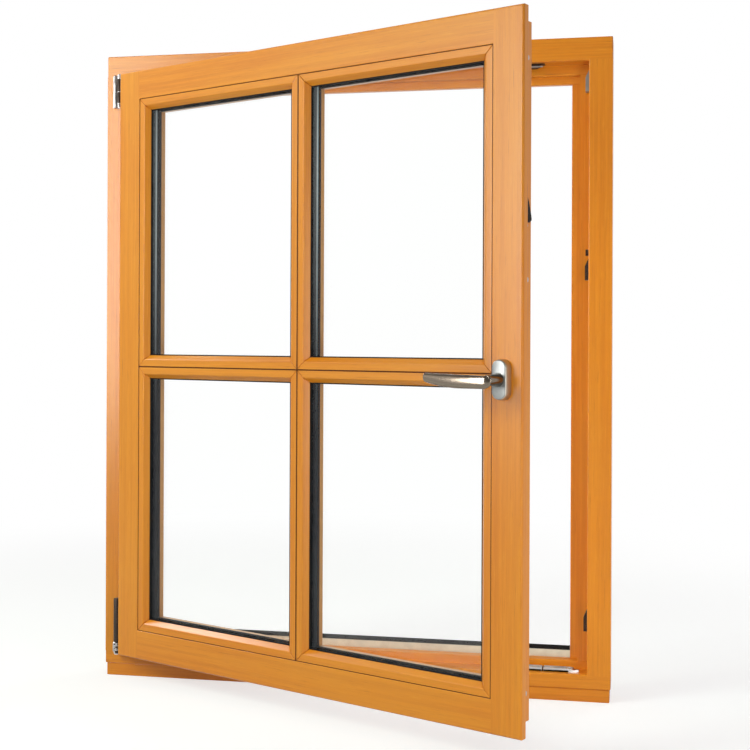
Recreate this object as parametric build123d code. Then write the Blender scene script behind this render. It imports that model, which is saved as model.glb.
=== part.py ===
from build123d import *
import os

# Outer frame. X runs along the window, Y from the room to the outside, Z up from the base.
frame_width = 1006
frame_height = 1250
frame_depth = 68
face_width = 44             # room-side face of the jambs and the head
first_step = 19             # width of the ledge behind the sash
second_step = 15            # width of the outer stop beyond that ledge
first_rebate = 40           # depth of the rebate that takes the sash
second_rebate = 14          # depth of the second step
edge_round = 2
strip_height = 25           # levelling strip under the frame
strip_setback = 3
strip_short = 2             # how much the strip stops short at each end
strip_notch = 12            # notch for an outer metal sill
sill_face = 27
ledge_height = 18           # rise of the sill's ledge behind the sash
ledge_fall = 2
sill_drop = 8               # how far the sill's outer part lies below the ledge

# Rain bar on the sill
bar_sheet = 2.5
bar_rise = 15
bar_overhang = 8
bar_fall = 8
bar_nose = 14
bar_end_gap = 0.3
seal_height = 8
seal_width = 5

# Sash, hung into the room
rebate_air = 12             # clear space round the sash for its fittings
lip_width = 17
lip_thickness = 15
lip_gap = 5                 # between the lip and the frame's face
back_gap = 5                # between the sash and the ledge
lip_round = 4
stile_face = 57
groove_round = 1
stop_thickness = 14
stop_chamfer = 4
open_angle = 25
bar_centre_height = 578     # middle of the level bar above the sash's lower edge

# Glazing
bead_width = 23             # from the groove to the glass line
bead_flat = 14
bead_recess = 1
bead_round = 2.5
bead_play = 0.5
mitre_gap = 0.3
bar_web = 12
sheet_thickness = 4
sheet_gap = 16
seal_thickness = 3
seal_lip = 1.5
edge_play = 5
web_play = 3
spacer_inset = 3
spacer_width = 11

# Hinges at the left edge
hinge_offset = 9            # from the lip's edge to the pin
barrel_radius = 4.5
pin_radius = 2.5
pin_play = 0.3
knuckle_gap = 0.5
cap_bevel = 1.2
leaf_thickness = 4
plate_thickness = 3
plate_width = 14
top_hinge_length = 66
top_bearing_length = 30
corner_band_length = 90
corner_bearing_length = 22
corner_bearing_radius = 6
pin_length = 18

# Fittings in the rebate on the lock side
striker_height = 42
striker_point = 16
striker_rise = 7
striker_depth = 18
striker_front = 12          # from the frame's face to the striker
striker_slot = 8
striker_slot_depth = 3
lower_striker_rise = 79     # from the sill to the lowest striker
middle_striker_drop = 412   # from the head's rebate down to each of the other strikers
upper_striker_drop = 56
roller_drop = 360
roller_radius = 6
roller_rise = 6
head_striker_inset = 159    # from the lock jamb's rebate to the striker's far end
head_striker_length = 75
tilt_striker_inset = 169
tilt_striker_length = 84
tilt_catch_gap = 3
tilt_catch_length = 68
faceplate_width = 16
faceplate_thickness = 2.5
faceplate_end = 50          # from the lip's ends to the faceplate's ends
faceplate_front = 24        # from the sash's face to the faceplate
cam_radius = 4.5
cam_rise = 6
cam_drop = 18               # how far a cam waits below its striker
lifter_drop = 343           # from the sash's upper edge to the lifter's foot
lifter_length = 48
lifter_rise = 7
lifter_depth = 10

# Handle
handle_inset = 35           # from the lip's free edge to the spindle
handle_height = 616
rosette_width = 29
rosette_height = 66
rosette_thickness = 13
rosette_corner = 12
rosette_bevel = 1.5
collar_radius = 13.5
collar_height = 1.5
neck_radius = 10.5
neck_waist = 7.5            # radius of the neck where it meets the grip
neck_play = 0.3
neck_seat = 6               # how far the neck sinks into the rosette
handle_reach = 54           # from the sash's face to the middle of the grip
grip_thickness = 13
grip_length = 116           # from the spindle to the tip
grip_straight = 46          # from the spindle to where the lower edge curves up
grip_top = 7                # upper edge above the spindle, by the neck
grip_low = 14               # lower edge below the spindle, by the neck
tip_top = 10.3
tip_low = 4.1
grip_corner = 5.5
grip_round = 5

# Places worked out from the sizes above
room = -frame_depth / 2
outside = frame_depth / 2
half_width = frame_width / 2
rebate_wall = half_width - face_width
head_wall = frame_height - face_width
sill_top = strip_height + sill_face
ledge_top = sill_top + ledge_height
ledge_depth = first_rebate + second_rebate
lip_cover = lip_width - rebate_air
lip_right = rebate_wall + lip_cover
lip_left = -lip_right
lip_bottom = sill_top - lip_cover
lip_top = head_wall + lip_cover
sash_front = room - lip_gap - lip_thickness
sash_back = room + first_rebate - back_gap
sash_edge = lip_right - lip_width
stop_front = sash_back - stop_thickness
glass_back = stop_front - seal_thickness
glass_front = glass_back - 2 * sheet_thickness - sheet_gap
bead_back = glass_front - seal_thickness
bead_front = sash_front + bead_recess
bar_level = lip_bottom + bar_centre_height
hinge_x = lip_left - hinge_offset
hinge_y = sash_front + lip_thickness / 2
handle_x = lip_right - handle_inset
fitting_middle = room + striker_front + striker_depth / 2
roller_place = head_wall - roller_drop
head_striker_place = rebate_wall - head_striker_inset
tilt_striker_place = rebate_wall - tilt_striker_inset
lifter_place = lip_top - lifter_drop
striker_places = {
    "lower_striker": sill_top + lower_striker_rise,
    "middle_striker": head_wall - middle_striker_drop,
    "upper_striker": head_wall - upper_striker_drop,
}


def slab(x0, x1, y0, y1, z0, z1):
    middle = Pos((x0 + x1) / 2, (y0 + y1) / 2, (z0 + z1) / 2)
    return middle * Box(x1 - x0, y1 - y0, z1 - z0)


def outline(points):
    return make_face(Polyline(*points, close=True))


def round_corner(face, corner, radius):
    return fillet(face.vertices().sort_by_distance(Vector(*corner))[:1], radius)


def upright(face, z0, z1):
    return extrude(Plane.XY.offset(z0) * face, z1 - z0)


def level(face, x0, x1):
    return extrude(Plane.YZ.offset(x0) * face, x1 - x0)


def across(face, y0, y1):
    return extrude(Plane.XZ.offset(-y1) * face, y1 - y0)


def post(x, y, z0, z1, radius):
    return Pos(x, y, (z0 + z1) / 2) * Cylinder(radius, z1 - z0)


def peg(x0, x1, y, z, radius):
    return Pos((x0 + x1) / 2, y, z) * Rot(0, 90, 0) * Cylinder(radius, x1 - x0)


# Frame members, as distance in from the outer edge and depth
def stepped_profile():
    ledge_edge = face_width + first_step
    inner_edge = ledge_edge + second_step
    return [
        (0, room),
        (face_width, room),
        (face_width, room + first_rebate),
        (ledge_edge, room + first_rebate),
        (ledge_edge, room + ledge_depth),
        (inner_edge, room + ledge_depth),
        (inner_edge, outside),
        (0, outside),
    ]


def make_head():
    face = outline([(y, frame_height - w) for w, y in stepped_profile()])
    face = round_corner(face, (room, head_wall), edge_round)
    return level(face, -half_width, half_width)


def make_sill():
    bar_seat = room + ledge_depth + bar_sheet
    face = outline([
        (room, strip_height),
        (room, sill_top),
        (room + first_rebate, sill_top),
        (room + first_rebate, ledge_top - ledge_fall),
        (room + ledge_depth, ledge_top),
        (bar_seat, ledge_top),
        (bar_seat, ledge_top - sill_drop),
        (outside, ledge_top - sill_drop - ledge_fall),
        (outside, strip_height),
    ])
    face = round_corner(face, (room, sill_top), edge_round)
    return level(face, -half_width, half_width)


def make_jamb(side, head, sill):
    face = outline([(side * (half_width - w), y) for w, y in stepped_profile()])
    face = round_corner(face, (side * rebate_wall, room), edge_round)
    return upright(face, strip_height, frame_height) - head - sill


def make_base_strip():
    front = room + strip_setback
    face = outline([
        (front, 0),
        (front, strip_height),
        (outside, strip_height),
        (outside, strip_notch),
        (outside - strip_notch, strip_notch),
        (outside - strip_notch, 0),
    ])
    return level(face, strip_short - half_width, half_width - strip_short)


# The rain bar closes the sill's outer step between the jambs
bar_front = room + ledge_depth
bar_top = ledge_top + bar_rise
bar_half_length = rebate_wall - first_step - second_step - bar_end_gap


def make_rain_bar():
    nose = outside + bar_overhang
    shoulder = bar_front + bar_sheet
    eave = bar_top - bar_fall
    face = outline([
        (bar_front, ledge_top),
        (bar_front, bar_top),
        (shoulder, bar_top),
        (nose, eave),
        (nose, eave - bar_nose),
        (nose - bar_sheet, eave - bar_nose),
        (nose - bar_sheet, eave - bar_sheet),
        (shoulder, bar_top - bar_sheet),
        (shoulder, ledge_top),
    ])
    return level(face, -bar_half_length, bar_half_length)


def make_rain_seal():
    back = bar_front + bar_sheet
    crown = bar_top + seal_height
    face = outline([
        (back, bar_top),
        (back - seal_width, bar_top),
        (back - seal_width, crown),
        (back, crown),
    ])
    face = round_corner(face, (back - seal_width, crown), seal_width / 3)
    return level(face, -bar_half_length, bar_half_length)


# Sash: a body with a lip all round that laps over the frame's face
def make_envelope():
    lip = slab(lip_left, lip_right, sash_front, sash_front + lip_thickness, lip_bottom, lip_top)
    lip = fillet(lip.faces().sort_by(Axis.Y)[0].edges(), lip_round)
    body = slab(
        lip_left + lip_width, sash_edge,
        sash_front + lip_thickness, sash_back,
        lip_bottom + lip_width, lip_top - lip_width,
    )
    return lip + body


def sash_profile():
    sight_line = stile_face + bead_width
    return [
        (0, sash_front),
        (stile_face, sash_front),
        (stile_face, stop_front),
        (sight_line, stop_front),
        (sight_line, sash_back - stop_chamfer),
        (sight_line - stop_chamfer, sash_back),
        (0, sash_back),
    ]


def make_stile(side, envelope):
    face = outline([(side * (lip_right - w), y) for w, y in sash_profile()])
    face = round_corner(face, (side * (lip_right - stile_face), sash_front), groove_round)
    return upright(face, lip_bottom, lip_top) & envelope


def make_rail(edge, inward, envelope, stiles):
    face = outline([(y, edge + inward * w) for w, y in sash_profile()])
    face = round_corner(face, (sash_front, edge + inward * stile_face), groove_round)
    rail = level(face, lip_left, lip_right) & envelope
    for stile in stiles:
        rail = rail - stile
    return rail


# Glazing bars: a web between the panes and a stop behind them
def tee_profile():
    half = bar_web / 2
    return [
        (-half, bead_back),
        (half, bead_back),
        (half, stop_front),
        (bead_width, stop_front),
        (bead_width, sash_back - stop_chamfer),
        (bead_width - stop_chamfer, sash_back),
        (stop_chamfer - bead_width, sash_back),
        (-bead_width, sash_back - stop_chamfer),
        (-bead_width, stop_front),
        (-half, stop_front),
    ]


def make_vertical_bar(rails):
    bar = upright(outline(tee_profile()), lip_bottom + stile_face, lip_top - stile_face)
    for rail in rails:
        bar = bar - rail
    return bar


def make_level_bar(stiles, vertical_bar):
    face = outline([(y, bar_level + v) for v, y in tee_profile()])
    bar = level(face, lip_left + stile_face, lip_right - stile_face) - vertical_bar
    for stile in stiles:
        bar = bar - stile
    return bar


# The four openings, from the rebate of the sash to the middle of the bars
columns = {"left": (lip_left + stile_face, 0), "right": (0, lip_right - stile_face)}
rows = {"lower": (lip_bottom + stile_face, bar_level), "upper": (bar_level, lip_top - stile_face)}


def cell_bounds(row, column):
    x0, x1 = columns[column]
    z0, z1 = rows[row]
    return x0, x1, z0, z1


def glass_bounds(row, column):
    x0, x1, z0, z1 = cell_bounds(row, column)
    at_bar = bar_web / 2 + web_play
    left, right = (edge_play, at_bar) if column == "left" else (at_bar, edge_play)
    low, high = (edge_play, at_bar) if row == "lower" else (at_bar, edge_play)
    return x0 + left, x1 - right, z0 + low, z1 - high


def inset(bounds, amount):
    x0, x1, z0, z1 = bounds
    return x0 + amount, x1 - amount, z0 + amount, z1 - amount


def plate(bounds, y0, y1):
    x0, x1, z0, z1 = bounds
    return slab(x0, x1, y0, y1, z0, z1)


def rectangle_at(bounds, y):
    x0, x1, z0, z1 = bounds
    middle = Pos((x0 + x1) / 2, (z0 + z1) / 2)
    return Plane.XZ.offset(-y) * middle * Rectangle(x1 - x0, z1 - z0)


def make_beads(row, column):
    bounds = inset(cell_bounds(row, column), bead_play)
    wide = inset(bounds, bead_flat - bead_play)
    narrow = inset(bounds, bead_width - bead_play)
    opening = loft([rectangle_at(narrow, bead_back), rectangle_at(wide, bead_front)], ruled=True)
    ring = plate(bounds, bead_front, bead_back) - opening
    rim = ring.faces().sort_by(Axis.Y)[0].inner_wires()[0].edges()
    ring = fillet(rim, bead_round)
    x0, x1, z0, z1 = bounds
    cut = 3 * bead_width
    for x, z, turn in ((x0, z0, -45), (x1, z0, 45), (x0, z1, 45), (x1, z1, -45)):
        ring = ring - Pos(x, bead_back, z) * Rot(0, turn, 0) * Box(cut, cut, mitre_gap)
    return ring


def make_pane(row, column):
    bounds = glass_bounds(row, column)
    inner = plate(bounds, glass_front, glass_front + sheet_thickness)
    outer = plate(bounds, glass_back - sheet_thickness, glass_back)
    return Compound([inner.solid(), outer.solid()])


def make_spacer(row, column):
    bounds = inset(glass_bounds(row, column), spacer_inset)
    front = glass_front + sheet_thickness
    back = glass_back - sheet_thickness
    return plate(bounds, front, back) - plate(inset(bounds, spacer_width), front, back)


def make_seals(y0, y1, lip):
    rings = []
    for row in rows:
        for column in columns:
            sight = inset(cell_bounds(row, column), bead_width + lip)
            ring = plate(glass_bounds(row, column), y0, y1) - plate(sight, y0, y1)
            rings.append(ring.solid())
    return Compound(rings)


# Hinges: a bearing with a pin on the frame, and a barrel with a leaf on the sash
def make_bearing(z0, z1, radius):
    body = post(hinge_x, hinge_y, z0, z1, radius)
    half = leaf_thickness / 2
    web = slab(hinge_x - half, hinge_x + half, hinge_y, room, z0, z1)
    foot = slab(
        hinge_x - plate_width / 2, hinge_x + plate_width / 2,
        room - plate_thickness, room, z0, z1,
    )
    pin = post(hinge_x, hinge_y, z1, z1 + pin_length, pin_radius)
    return body + web + foot + pin


def make_band(z0, z1):
    body = post(hinge_x, hinge_y, z0, z1, barrel_radius)
    body = chamfer(body.edges().sort_by(Axis.Z)[-1], cap_bevel)
    half = leaf_thickness / 2
    leaf = slab(hinge_x, lip_left, hinge_y - half, hinge_y + half, z0, z1)
    bore = post(hinge_x, hinge_y, z0, z0 + pin_length + pin_play, pin_radius + pin_play)
    return body + leaf - bore


# Fittings in the rebate
def make_striker(foot):
    face = outline([
        (rebate_wall, foot),
        (rebate_wall - striker_rise, foot),
        (rebate_wall - striker_rise, foot + striker_height - striker_point),
        (rebate_wall, foot + striker_height),
    ])
    front = room + striker_front
    block = across(face, front, front + striker_depth)
    slot = slab(
        rebate_wall - striker_rise, rebate_wall - striker_rise + striker_slot_depth,
        fitting_middle - striker_slot / 2, fitting_middle + striker_slot / 2,
        foot, foot + striker_height,
    )
    return block - slot


def make_roller():
    return peg(rebate_wall - roller_rise, rebate_wall, fitting_middle, roller_place, roller_radius)


def make_head_striker():
    end = head_striker_place + head_striker_length
    face = outline([
        (head_striker_place, head_wall),
        (head_striker_place, head_wall - striker_rise),
        (end - striker_point, head_wall - striker_rise),
        (end, head_wall),
    ])
    front = room + striker_front
    return across(face, front, front + striker_depth)


def make_tilt_striker():
    front = room + striker_front
    top = sill_top + striker_rise
    keep_end = tilt_striker_place + tilt_striker_length
    keep = slab(tilt_striker_place, keep_end, front, front + striker_depth, sill_top, top)
    groove = slab(
        tilt_striker_place, keep_end,
        fitting_middle - striker_slot / 2, fitting_middle + striker_slot / 2,
        top - striker_slot_depth, top,
    )
    start = keep_end + tilt_catch_gap
    end = start + tilt_catch_length
    face = outline([
        (start, sill_top),
        (start, top),
        (end - striker_point, top),
        (end, sill_top),
    ])
    catch = across(face, front, front + striker_depth)
    return Compound([(keep - groove).solid(), catch.solid()])


def faceplate_strip():
    front = sash_front + faceplate_front
    return slab(
        sash_edge - faceplate_thickness, sash_edge,
        front, front + faceplate_width,
        lip_bottom + faceplate_end, lip_top - faceplate_end,
    )


def make_faceplate():
    strip = faceplate_strip()
    middle = sash_front + faceplate_front + faceplate_width / 2
    for foot in striker_places.values():
        strip = strip + peg(sash_edge, sash_edge + cam_rise, middle, foot - cam_drop, cam_radius)
    return strip


def make_lifter():
    face = outline([
        (sash_edge, lifter_place),
        (sash_edge + lifter_rise, lifter_place),
        (sash_edge, lifter_place + lifter_length),
    ])
    middle = sash_front + faceplate_front + faceplate_width / 2
    return across(face, middle - lifter_depth / 2, middle + lifter_depth / 2)


# Handle on the lock stile, its grip level and pointing to the hinge side
def at_spindle(face, near, far):
    return across(Pos(handle_x, handle_height) * face, sash_front - far, sash_front - near)


def make_rosette():
    face = RectangleRounded(rosette_width, rosette_height, rosette_corner)
    body = at_spindle(face, 0, rosette_thickness)
    body = chamfer(body.faces().sort_by(Axis.Y)[0].edges(), rosette_bevel)
    rim = rosette_thickness + collar_height
    body = body + at_spindle(Circle(collar_radius), rosette_thickness, rim)
    return body - at_spindle(Circle(neck_radius + neck_play), rim - neck_seat, rim)


def grip_outline():
    bend = (handle_x - grip_straight, handle_height - grip_low)
    low_tip = (handle_x - grip_length, handle_height - tip_low)
    high_tip = (handle_x - grip_length, handle_height + tip_top)
    high_end = (handle_x + neck_waist, handle_height + grip_top)
    low_end = (handle_x + neck_waist, handle_height - grip_low)
    face = make_face(Wire([
        Line(low_end, bend),
        TangentArc(bend, low_tip, tangent=(-1, 0)),
        Line(low_tip, high_tip),
        Line(high_tip, high_end),
        Line(high_end, low_end),
    ]))
    for corner in (low_tip, high_tip, high_end, low_end):
        face = round_corner(face, corner, grip_corner)
    return face


def make_lever():
    middle = sash_front - handle_reach
    grip = across(grip_outline(), middle - grip_thickness / 2, middle + grip_thickness / 2)
    sides = grip.faces().sort_by(Axis.Y)
    grip = fillet(sides[0].edges() + sides[-1].edges(), grip_round)
    foot = sash_front - rosette_thickness - collar_height + neck_seat - neck_play
    centre = Pos(handle_x, (foot + middle) / 2, handle_height)
    return grip + centre * Rot(90, 0, 0) * Cone(neck_radius, neck_waist, foot - middle)


# Pieces fixed to the frame
head = make_head()
sill = make_sill()
top_hinge_foot = lip_top - top_hinge_length
top_bearing_end = top_hinge_foot + top_bearing_length
corner_bearing_end = lip_bottom + corner_bearing_length
fixed = {
    "frame_head": head,
    "frame_sill": sill,
    "hinge_jamb": make_jamb(-1, head, sill),
    "lock_jamb": make_jamb(1, head, sill),
    "base_strip": make_base_strip(),
    "rain_bar": make_rain_bar(),
    "rain_bar_seal": make_rain_seal(),
    "top_hinge_bearing": make_bearing(top_hinge_foot, top_bearing_end, barrel_radius),
    "corner_bearing": make_bearing(lip_bottom, corner_bearing_end, corner_bearing_radius),
    "lifter_roller": make_roller(),
    "head_striker": make_head_striker(),
    "tilt_striker": make_tilt_striker(),
}
for name, foot in striker_places.items():
    fixed[name] = make_striker(foot)

# Pieces of the sash, made closed
envelope = make_envelope()
hinge_stile = make_stile(-1, envelope)
lock_stile = make_stile(1, envelope)
stiles = [hinge_stile, lock_stile]
top_rail = make_rail(lip_top, -1, envelope, stiles)
bottom_rail = make_rail(lip_bottom, 1, envelope, stiles)
vertical_bar = make_vertical_bar([top_rail, bottom_rail])
hung = {
    "hinge_stile": hinge_stile,
    "lock_stile": lock_stile - faceplate_strip(),
    "sash_top_rail": top_rail,
    "sash_bottom_rail": bottom_rail,
    "vertical_bar": vertical_bar,
    "level_bar": make_level_bar(stiles, vertical_bar),
    "inner_glazing_seals": make_seals(bead_back, glass_front, seal_lip),
    "outer_glazing_seals": make_seals(glass_back, stop_front, 0),
    "lock_faceplate": make_faceplate(),
    "sash_lifter": make_lifter(),
    "top_hinge_band": make_band(top_bearing_end + knuckle_gap, lip_top),
    "corner_band": make_band(corner_bearing_end + knuckle_gap, corner_bearing_end + corner_band_length),
    "handle_rosette": make_rosette(),
    "handle_lever": make_lever(),
}
for row in rows:
    for column in columns:
        hung[f"{row}_{column}_pane"] = make_pane(row, column)
        hung[f"{row}_{column}_spacer"] = make_spacer(row, column)
        hung[f"{row}_{column}_beads"] = make_beads(row, column)

# The sash stands open, turned into the room about its hinge pins
hinge_line = Axis((hinge_x, hinge_y, 0), (0, 0, 1))
nodes = dict(fixed)
for name, piece in hung.items():
    nodes[name] = piece.rotate(hinge_line, -open_angle)

os.makedirs("parts", exist_ok=True)
for name, piece in nodes.items():
    export_step(piece, f"parts/{name}.step")
print(f"{len(nodes)} pieces, hinge pin at {hinge_x:.1f}, {hinge_y:.1f}")
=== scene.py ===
import math

import bmesh
import bpy
from mathutils import Matrix, Vector


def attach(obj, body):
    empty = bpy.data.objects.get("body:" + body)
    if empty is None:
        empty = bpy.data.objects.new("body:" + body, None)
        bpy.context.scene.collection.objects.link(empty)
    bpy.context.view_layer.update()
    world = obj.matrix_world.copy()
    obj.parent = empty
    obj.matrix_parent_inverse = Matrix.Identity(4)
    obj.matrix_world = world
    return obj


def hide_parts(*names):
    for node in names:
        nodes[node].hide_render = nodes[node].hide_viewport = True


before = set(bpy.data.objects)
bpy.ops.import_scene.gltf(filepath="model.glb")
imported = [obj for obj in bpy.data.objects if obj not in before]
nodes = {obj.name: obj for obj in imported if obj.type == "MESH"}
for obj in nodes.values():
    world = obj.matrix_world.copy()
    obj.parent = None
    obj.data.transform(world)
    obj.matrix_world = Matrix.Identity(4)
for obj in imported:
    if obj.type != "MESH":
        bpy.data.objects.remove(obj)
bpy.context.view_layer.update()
print("frame loaded,", len(nodes), "nodes")

# the sash stands turned about its hinge pins, so its pieces are laid out as if closed
hinge = {"x": -0.473, "y": -0.0465, "open": math.radians(25)}
sashTurn = (
    Matrix.Translation((hinge["x"], hinge["y"], 0))
    @ Matrix.Rotation(-hinge["open"], 4, "Z")
    @ Matrix.Translation((-hinge["x"], -hinge["y"], 0))
)


# shader tools
class Wire:
    def __init__(self, tree, socket):
        self.tree = tree
        self.socket = socket

    def math(self, operation, *values):
        return addNode(self.tree, "ShaderNodeMath", {"operation": operation}, dict(enumerate(values)))

    def __add__(self, other):
        return self.math("ADD", self, other)

    def __radd__(self, other):
        return self.math("ADD", other, self)

    def __sub__(self, other):
        return self.math("SUBTRACT", self, other)

    def __rsub__(self, other):
        return self.math("SUBTRACT", other, self)

    def __mul__(self, other):
        return self.math("MULTIPLY", self, other)

    def __rmul__(self, other):
        return self.math("MULTIPLY", other, self)

    def __truediv__(self, other):
        return self.math("DIVIDE", self, other)

    def __pow__(self, other):
        return self.math("POWER", self, other)

    def __abs__(self):
        return self.math("ABSOLUTE", self)


def addNode(tree, kind, settings=None, sockets=None, out=0):
    node = tree.nodes.new(kind)
    for key, value in (settings or {}).items():
        setattr(node, key, value)
    for key, value in (sockets or {}).items():
        if isinstance(value, Wire):
            tree.links.new(value.socket, node.inputs[key])
        else:
            node.inputs[key].default_value = value
    return Wire(tree, node.outputs[out]) if len(node.outputs) else node


def smoothStep(tree, value, low, high):
    return addNode(tree, "ShaderNodeMapRange", {"interpolation_type": "SMOOTHSTEP"}, {0: value, 1: low, 2: high})


class Finish:
    def __init__(self, name):
        self.material = bpy.data.materials.new(name)
        self.material.use_nodes = True
        self.tree = self.material.node_tree
        self.tree.nodes.clear()

    def node(self, kind, settings=None, sockets=None, out=0):
        return addNode(self.tree, kind, settings, sockets, out)

    def place(self, kind="Object", turned=False):   # turned gives the sash as if it were closed
        source = self.node("ShaderNodeTexCoord", out=kind)
        if not turned:
            return source
        pivot = (hinge["x"], hinge["y"], 0) if kind == "Object" else (0, 0, 0)
        return self.node("ShaderNodeVectorRotate", {"rotation_type": "Z_AXIS"},
                         {0: source, "Center": pivot, "Angle": hinge["open"]})

    def split(self, vector):
        cut = self.node("ShaderNodeSeparateXYZ", None, {0: vector})
        return [Wire(self.tree, cut.socket.node.outputs[i]) for i in range(3)]

    def join(self, x, y, z):
        return self.node("ShaderNodeCombineXYZ", None, {0: x, 1: y, 2: z})

    def noise(self, vector, scale=1.0, detail=2.0, rough=0.5):
        return self.node("ShaderNodeTexNoise", None,
                         {"Vector": vector, "Scale": scale, "Detail": detail, "Roughness": rough})

    def smooth(self, value, low, high):
        return smoothStep(self.tree, value, low, high)

    def mix(self, factor, first, second):
        return self.node("ShaderNodeMix", {"data_type": "RGBA"}, {0: factor, 6: first, 7: second}, out=2)

    def bump(self, height, strength, distance):
        return self.node("ShaderNodeBump", None, {"Height": height, "Strength": strength, "Distance": distance})

    def surface(self, sockets):
        shader = self.node("ShaderNodeBsdfPrincipled", None, sockets)
        self.node("ShaderNodeOutputMaterial", None, {0: shader})
        return self.material


def colour(red, green, blue):
    return (red, green, blue, 1.0)


# camera, as the photograph was taken
shot = {
    "place": (0.55186, -2.49446, 0.67410),
    "yaw": 0.1984,      # to the left, in radians
    "pitch": 0.0007,
    "roll": 0.0041,
    "lens": 62.15,
    "sensor": 36,
    "clip": (0.05, 100),
    "shift": (-0.0043, -0.0443),
}


def makeCamera():
    level = Vector((-math.sin(shot["yaw"]), math.cos(shot["yaw"]), 0))
    side = Vector((math.cos(shot["yaw"]), math.sin(shot["yaw"]), 0))
    up = Vector((0, 0, 1))
    ahead = level * math.cos(shot["pitch"]) + up * math.sin(shot["pitch"])
    top = up * math.cos(shot["pitch"]) - level * math.sin(shot["pitch"])
    right = side * math.cos(shot["roll"]) + top * math.sin(shot["roll"])
    crown = top * math.cos(shot["roll"]) - side * math.sin(shot["roll"])
    camera = bpy.data.cameras.new("shotCamera")
    camera.lens = shot["lens"]
    camera.sensor_width = shot["sensor"]
    camera.shift_x, camera.shift_y = shot["shift"]
    camera.clip_start, camera.clip_end = shot["clip"]
    view = bpy.data.objects.new("shotCamera", camera)
    bpy.context.scene.collection.objects.link(view)
    turn = Matrix((right, crown, -ahead)).transposed().to_4x4()
    view.matrix_world = Matrix.Translation(shot["place"]) @ turn
    bpy.context.scene.camera = view


makeCamera()
print("camera set")

# studio: lamps for the gloss and for the matt light, a white surround that dims behind the camera, a pale floor
studio = {
    "outdoors": (-0.25, 0.35),      # where the surround turns from room to open air
    "fill": 0.47,
    "fillBehind": 0.33,
    "fillTint": colour(1.0, 0.935, 0.885),
    "roomGlow": 0.30,      # what the gloss sees on the camera's side
    "glowTint": colour(1.0, 0.98, 0.95),
    "sideGlow": 1.10,      # and in a soft patch on the left
    "sideToward": (-0.93, -0.22, 0.28),
    "sideSpread": (0.86, 0.99),
    "lamps": [  # name, place, looks at, width, height, watts, what it lights, tint
        ("leftBank", (-1.37, -2.15, 1.15), (-0.45, -0.03, 0.85), 0.45, 1.60, 34, "gloss", (1, 1, 1)),
        ("farLeftBank", (-2.10, -2.62, 0.98), (0.35, -0.43, 0.78), 0.42, 0.85, 13.5, "gloss", (1, 1, 1)),
        ("edgeStrip", (1.90, -2.60, 0.60), (0.37, -0.45, 0.60), 0.30, 1.40, 24, "gloss", (1, 1, 1)),
        ("highStrip", (-2.30, 0.30, 2.25), (-0.20, -0.16, 0.12), 0.45, 0.45, 20, "gloss", (1, 1, 1)),
        ("softSide", (-2.60, -0.90, 1.70), (-0.20, -0.15, 0.95), 1.00, 1.30, 3, "matt", (1, 1, 1)),
        ("softLeft", (-1.90, -1.60, 1.85), (-0.20, -0.20, 0.80), 0.90, 1.20, 41, "matt", (0.90, 1.0, 0.84)),
        ("softRight", (1.25, -1.30, 0.26), (0.42, -0.20, 0.40), 0.45, 0.45, 6.8, "matt", (1, 0.96, 0.9)),
        ("softBack", (1.90, 2.80, 1.70), (0.00, 0.03, 0.65), 1.00, 1.20, 24, "matt", (1, 0.98, 0.94)),
    ],
    "floor": colour(0.46, 0.48, 0.50),
    "floorLift": 0.64,     # near the window, where the shadow falls
    "floorFar": (1.1, 2.6),
    "floorReach": 30,
}


def seenBy(tree, *rays):
    path = addNode(tree, "ShaderNodeLightPath").socket.node
    found = None
    for ray in rays:
        wire = Wire(tree, path.outputs[ray])
        found = wire if found is None else wire.math("MAXIMUM", found, wire)
    return found


def mixShaders(tree, factor, first, second):
    return addNode(tree, "ShaderNodeMixShader", None, {0: factor, 1: first, 2: second})


def makeWorld(scene):
    world = bpy.data.worlds.new("studioWorld")
    scene.world = world
    world.use_nodes = True
    tree = world.node_tree
    tree.nodes.clear()
    toward = addNode(tree, "ShaderNodeTexCoord", out="Generated")
    y = addNode(tree, "ShaderNodeSeparateXYZ", None, {0: toward}, out=1)
    outdoors = smoothStep(tree, y, *studio["outdoors"])
    dimmer = studio["fill"] - outdoors * (studio["fill"] - studio["fillBehind"])
    fill = addNode(tree, "ShaderNodeBackground", None, {0: studio["fillTint"], 1: dimmer})
    patch = addNode(tree, "ShaderNodeVectorMath", {"operation": "DOT_PRODUCT"},
                    {0: toward, 1: studio["sideToward"]}, out="Value")
    patch = smoothStep(tree, patch, *studio["sideSpread"])
    glow = addNode(tree, "ShaderNodeBackground", None,
                   {0: studio["glowTint"], 1: patch * studio["sideGlow"] + studio["roomGlow"]})
    white = addNode(tree, "ShaderNodeBackground", None, {0: colour(1, 1, 1), 1: 1.0})
    gloss = mixShaders(tree, outdoors, glow, white)
    lit = mixShaders(tree, seenBy(tree, "Is Glossy Ray"), fill, gloss)
    shown = mixShaders(tree, seenBy(tree, "Is Camera Ray", "Is Transmission Ray"), lit, white)
    addNode(tree, "ShaderNodeOutputWorld", None, {0: shown})


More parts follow.
